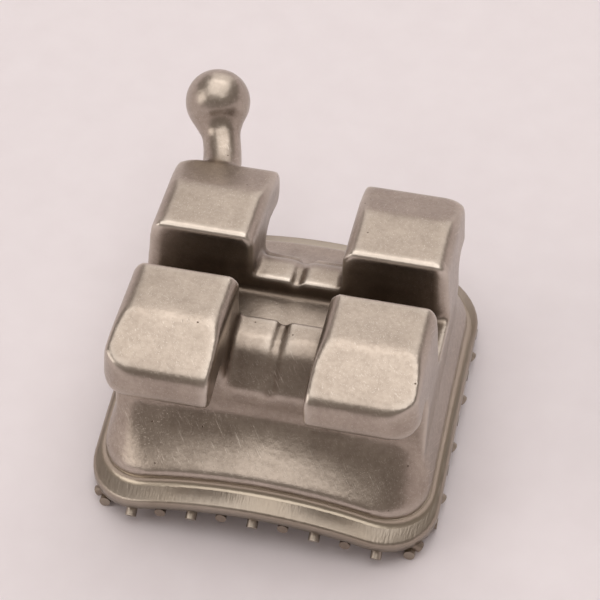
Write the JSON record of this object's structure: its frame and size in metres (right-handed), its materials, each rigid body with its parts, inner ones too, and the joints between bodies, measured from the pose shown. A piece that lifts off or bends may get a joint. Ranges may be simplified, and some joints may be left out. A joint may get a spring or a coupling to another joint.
{
  "type": "orthodontic bracket",
  "caption": "Small metal twin bracket with a rectangular archwire slot, tie wings, a ball hook and a curved mesh bonding pad.",
  "frame": {"origin": "middle of the bonding pad's tooth side, at the touching point of the tooth's curve", "axes": "+Z leaves the tooth (facial), +Y towards the gum (gingival), +X towards the midline (mesial); the slot runs along X and opens 7 degrees off +Z towards +Y"},
  "size_m": [0.0036, 0.0048, 0.0022],
  "materials": {
    "moulded_steel": "satin",
    "rolled_foil": "satin",
    "woven_wire": "satin"
  },
  "bodies": {
    "root": {"bracket_body": "moulded_steel", "pad_foil": "rolled_foil", "pad_mesh": "woven_wire"}
  },
  "joints": []
}
